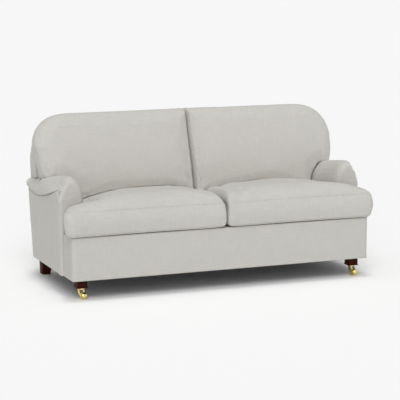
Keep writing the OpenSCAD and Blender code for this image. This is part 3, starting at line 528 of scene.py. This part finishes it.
def sewn(piece, seams, groove_mm, half_mm, pucker_mm):
    """Cuts a fine groove along each seam, and puckers the cloth on both sides of it."""
    smooth = piece.modifiers.new("smooth", "SUBSURF")
    smooth.levels = smooth.render_levels = 1
    applied(piece)
    shape = bmesh.new()
    shape.from_mesh(piece.data)
    for point, normal in seams:
        point, normal = Vector(point), Vector(normal)
        for vert in shape.verts:
            away = abs((vert.co - point).dot(normal)) / MM
            if away < PUCKER_REACH_MM:
                flat = vert.co - normal * (vert.co - point).dot(normal) * PUCKER_RUN
                wave = noise.noise(flat * PUCKERS_PER_M) + 0.5 * noise.noise(flat * SMALL_PUCKERS_PER_M)
                vert.co += vert.normal * wave * pucker_mm * MM * math.exp(-away / PUCKER_FADE_MM)
        for offset_mm in (-half_mm, 0, half_mm):
            everything = shape.verts[:] + shape.edges[:] + shape.faces[:]
            cut = bmesh.ops.bisect_plane(shape, geom=everything, dist=0.02 * MM, plane_no=normal,
                                         plane_co=point + normal * offset_mm * MM)
            if offset_mm == 0:
                line = [part for part in cut["geom_cut"] if isinstance(part, bmesh.types.BMVert)]
        shape.normal_update()
        for vert in line:
            vert.co -= vert.normal * groove_mm * MM
    bmesh.ops.dissolve_degenerate(shape, dist=SAME_POINT_MM * MM, edges=shape.edges)
    shape.to_mesh(piece.data)
    shape.free()
    piece.data.shade_smooth()


PIN_MM = 7
FILLING_PRESSURE = 4
BLOW_FRAMES = 20
UP, DOWN, REAR = (0, 0, 1), (0, 0, -1), (0, 1, 0)
# The border's edges on the solid, and how far above them the filling lifts the two seams
BORDER_FOOT_Z, BORDER_TOP_Z = 0.3443, 0.4743
FOOT_LIFT, TOP_LIFT = 0.012, 0.007
seat_seams = [((0, 0, BORDER_TOP_Z + TOP_LIFT), UP), ((0, 0, BORDER_FOOT_Z + FOOT_LIFT), UP)]
# What sitting and the filling's own lie have done to each cushion. The crown is all above its seam.
CROWN = [(0.47, 0), (0.50, 1)]
SEAT_LIE = {
    "left": [
        ((10, 0, 3), [(0.84, 0), (0.90, 1)], [], [(0.38, 0), (0.47, 1)]),
        ((4, 8, 0), [(0.86, 0), (0.91, 1)], [(-0.44, 1), (-0.38, 0)]),
        ((0, 0, -11), [(0.66, 0), (0.72, 1), (0.80, 0.6), (0.88, 0)], [], CROWN),
        ((0, 0, -14), [(0.63, 0), (0.70, 1), (0.74, 1)], [(-0.3, 0), (-0.2, 1)], CROWN),
        ((0, 0, -4), [], [(-0.2, 0), (-0.05, 1)], CROWN),
        ((-5, 0, 0), [(0, 1), (0.3, 0)]),
    ],
    "right": [
        ((2, 0, 13), [(0.82, 0), (0.90, 1)], [], [(0.45, 0), (0.49, 1)]),
        ((-9, 0, 0), [(0.84, 0), (0.90, 1)], [], [(0.365, 1), (0.42, 0)]),
        ((0, 0, -24), [(0.12, 1), (0.46, 0)], [(-0.12, 0), (-0.02, 1)], CROWN),
        ((0, 0, 16), [(0.42, 0), (0.58, 1)], [(-0.25, 0), (-0.1, 1)], CROWN),
        ((0, 0, 6), [(0.54, 0), (0.66, 1), (0.74, 1), (0.84, 0)], [(-0.4, 0.5), (-0.2, 1)], CROWN),
        ((-6, 0, 20), [(0.02, 1), (0.10, 0)], [(-0.12, 1), (-0.02, 0)], [(0.44, 0), (0.47, 1)]),
        ((5, 0, 0), [(0, 1), (0.3, 0)]),
    ],
}
BOTH_SEATS = [((0, 0, -3), [(0.03, 0), (0.10, 1)], [(-0.42, 1), (-0.39, 0)], [(0.37, 1), (0.43, 0)]),
              ((-7, 0, 4), [(0.03, 1), (0.07, 0)], [], [(0.45, 0), (0.475, 1)]),
              ((0, 0, 19), [(0, 0.7), (0.012, 1), (0.05, 0.8), (0.14, 0)], [(-0.4, 1), (0, 0)], CROWN)]
for side, inwards in (("left", (1, 0, 0)), ("right", (-1, 0, 0))):
    shape = merged_copy(f"{side}_seat_cushion")
    cushion = make_piece(f"{side}_seat_cushion_cloth", shape, cushion_linen, "cushion_linen",
                         f"{side}_seat_cushion", body=f"{side}_seat")
    remeshed(cushion, voxel_mm=11, rounds=1)
    blown(cushion, shrink_mm=2.5, swell_mm=8, seams=seat_seams, held=(DOWN, REAR, inwards))
    nudged(cushion, SEAT_LIE[side] + BOTH_SEATS)
    sewn(cushion, seat_seams, groove_mm=2.5, half_mm=2.5, pucker_mm=2)

# The zips' nylon tape is woven too, finer and smoother than the linen
zip_tape = woven("nylon_zip_tape", "8f8b80", thread_mm=1.2, slub=0.1, roughness=0.6, relief_mm=0.3)
finish_nodes(zip_tape, "left_seat_zip", "right_seat_zip")


# Back cushions
# Boxed cushions of the same linen, filled with feather and fibre, with one big round shoulder each.
# A plain seam runs round the edge of the face, a little behind it.
FACE_LEAN_DEG = 19.5
FACE_FOOT_Y, FACE_FOOT_Z = 0.017, 0.502
SEAM_SETBACK = 0.026
lean = math.radians(FACE_LEAN_DEG)
face_out = (0, -math.cos(lean), math.sin(lean))
face_seam = (0, FACE_FOOT_Y + SEAM_SETBACK, FACE_FOOT_Z)
back_seams = [(face_seam, face_out)]
BACK_LIE = {
    "left": [((-5, 0, 0), [(0, 1), (0.3, 0)]),
             ((12, 0, 2), [(0.66, 0), (0.84, 1)], [], [(0.71, 0), (0.78, 1)]),
             ((0, 12, 0), [(0.78, 0), (0.89, 1)]),
             ((0, 0, -4), [(0.70, 1), (0.78, 0)], [], [(0.54, 1), (0.62, 0)]),
             ((0, 0, -6), [(0.05, 1), (0.16, 0)], [], [(0.54, 1), (0.62, 0)])],
    "right": [((5, 0, 0), [(0, 1), (0.3, 0)]),
              ((0, 7, 0), [(0, 1), (0.05, 0)]),
              ((0, 8, 0), [(0, 1), (0.16, 0)]),
              ((0, -6, 0), [(0.80, 0), (0.89, 1)]),
              ((0, 0, -26), [(0.14, 1), (0.46, 0)], [], [(0.56, 1), (0.66, 0)]),
              ((0, 0, -9), [(0.10, 1), (0.22, 0)], [], [(0.54, 1), (0.62, 0)])],
}
BOTH_BACKS = [((0, 0, 8), [], [], [(0.80, 0), (0.92, 1)]),
              ((-11, 0, 0), [(0.64, 0), (0.69, 1), (0.75, 1), (0.79, 0)], [], [(0.60, 1), (0.65, 0)]),
              ((-8, 0, 0), [(0.80, 0), (0.89, 1)], [], [(0.70, 1), (0.80, 0)]),
              ((-4, 0, -26), [(0.78, 0), (0.87, 1)], [], [(0.62, 1), (0.73, 0)]),
              ((-9, 0, 0), [(0.84, 0), (0.90, 1)], [], [(0.64, 1), (0.69, 0)]),
              ((0, 0, -8), [(0.70, 1), (0.78, 0)], [], [(0.54, 1), (0.62, 0)])]
for side, inwards in (("left", (1, 0, 0)), ("right", (-1, 0, 0))):
    shape = merged_copy(f"{side}_back_cushion")
    cushion = make_piece(f"{side}_back_cushion_cloth", shape, cushion_linen, "cushion_linen",
                         f"{side}_back_cushion", body=f"{side}_back")
    remeshed(cushion, voxel_mm=11, rounds=1)
    blown(cushion, shrink_mm=2, swell_mm=6, seams=back_seams, held=(DOWN, REAR, inwards))
    nudged(cushion, BACK_LIE[side] + BOTH_BACKS)
    sewn(cushion, back_seams, groove_mm=2.5, half_mm=2.5, pucker_mm=2)


# Floor and light
# A pale seamless floor under an even sky. Two soft lamps stand in line with the camera, so that the
# sofa hides its own shadow. One hangs overhead, and a weak one lifts the sofa's left side.
FLOOR_HALF_M = 150
floor_paint = new_material("matt_floor_paint")
surface(floor_paint, {"Base Color": linear("fdfdfd"), "Roughness": 0.9, "Specular IOR Level": 0.0})
shape = bmesh.new()
bmesh.ops.create_grid(shape, x_segments=1, y_segments=1, size=FLOOR_HALF_M)
floor_mesh = bpy.data.meshes.new("floor")
shape.to_mesh(floor_mesh)
shape.free()
floor_mesh.materials.append(floor_paint)
floor = bpy.data.objects.new("floor", floor_mesh)
bpy.context.scene.collection.objects.link(floor)

world = bpy.data.worlds.new("studio")
bpy.context.scene.world = world
world.use_nodes = True
world.node_tree.nodes.clear()
# The camera, metal and glass see the pale backdrop. Everything else is lit by the weaker sky.
SKY_STRENGTH = 0.38
ray = add_node(world, "LightPath")
seen = add_node(world, "Math", {0: ray.outputs["Is Camera Ray"], 1: ray.outputs["Is Glossy Ray"]},
                operation="MAXIMUM")
shown = add_node(world, "Math", {0: seen.outputs["Value"], 1: ray.outputs["Is Transmission Ray"]},
                 operation="MAXIMUM")
backdrop = add_node(world, "Background", {"Color": linear("f6f6f6"), "Strength": 1.0})
sky = add_node(world, "Background", {"Color": linear("ffffff"), "Strength": SKY_STRENGTH})
either = add_node(world, "MixShader", {0: shown.outputs["Value"], 1: sky.outputs["Background"],
                                       2: backdrop.outputs["Background"]})
add_node(world, "OutputWorld", {"Surface": either.outputs["Shader"]})

# Each lamp: its azimuth to the right of the front, its height and its softness in degrees, its strength
LAMPS = {"low": (-22, 15, 35, 0.58), "key": (-22, 50, 35, 1.13), "top": (0, 87, 10, 0.69),
         "side": (-85, 30, 100, 0.15)}
for name, (turn_deg, height_deg, soft_deg, strength) in LAMPS.items():
    lamp_data = bpy.data.lights.new(name, "SUN")
    lamp_data.energy = strength
    lamp_data.angle = math.radians(soft_deg)
    lamp = bpy.data.objects.new(name, lamp_data)
    lamp.rotation_euler = (math.radians(90 - height_deg), 0, math.radians(turn_deg))
    bpy.context.scene.collection.objects.link(lamp)
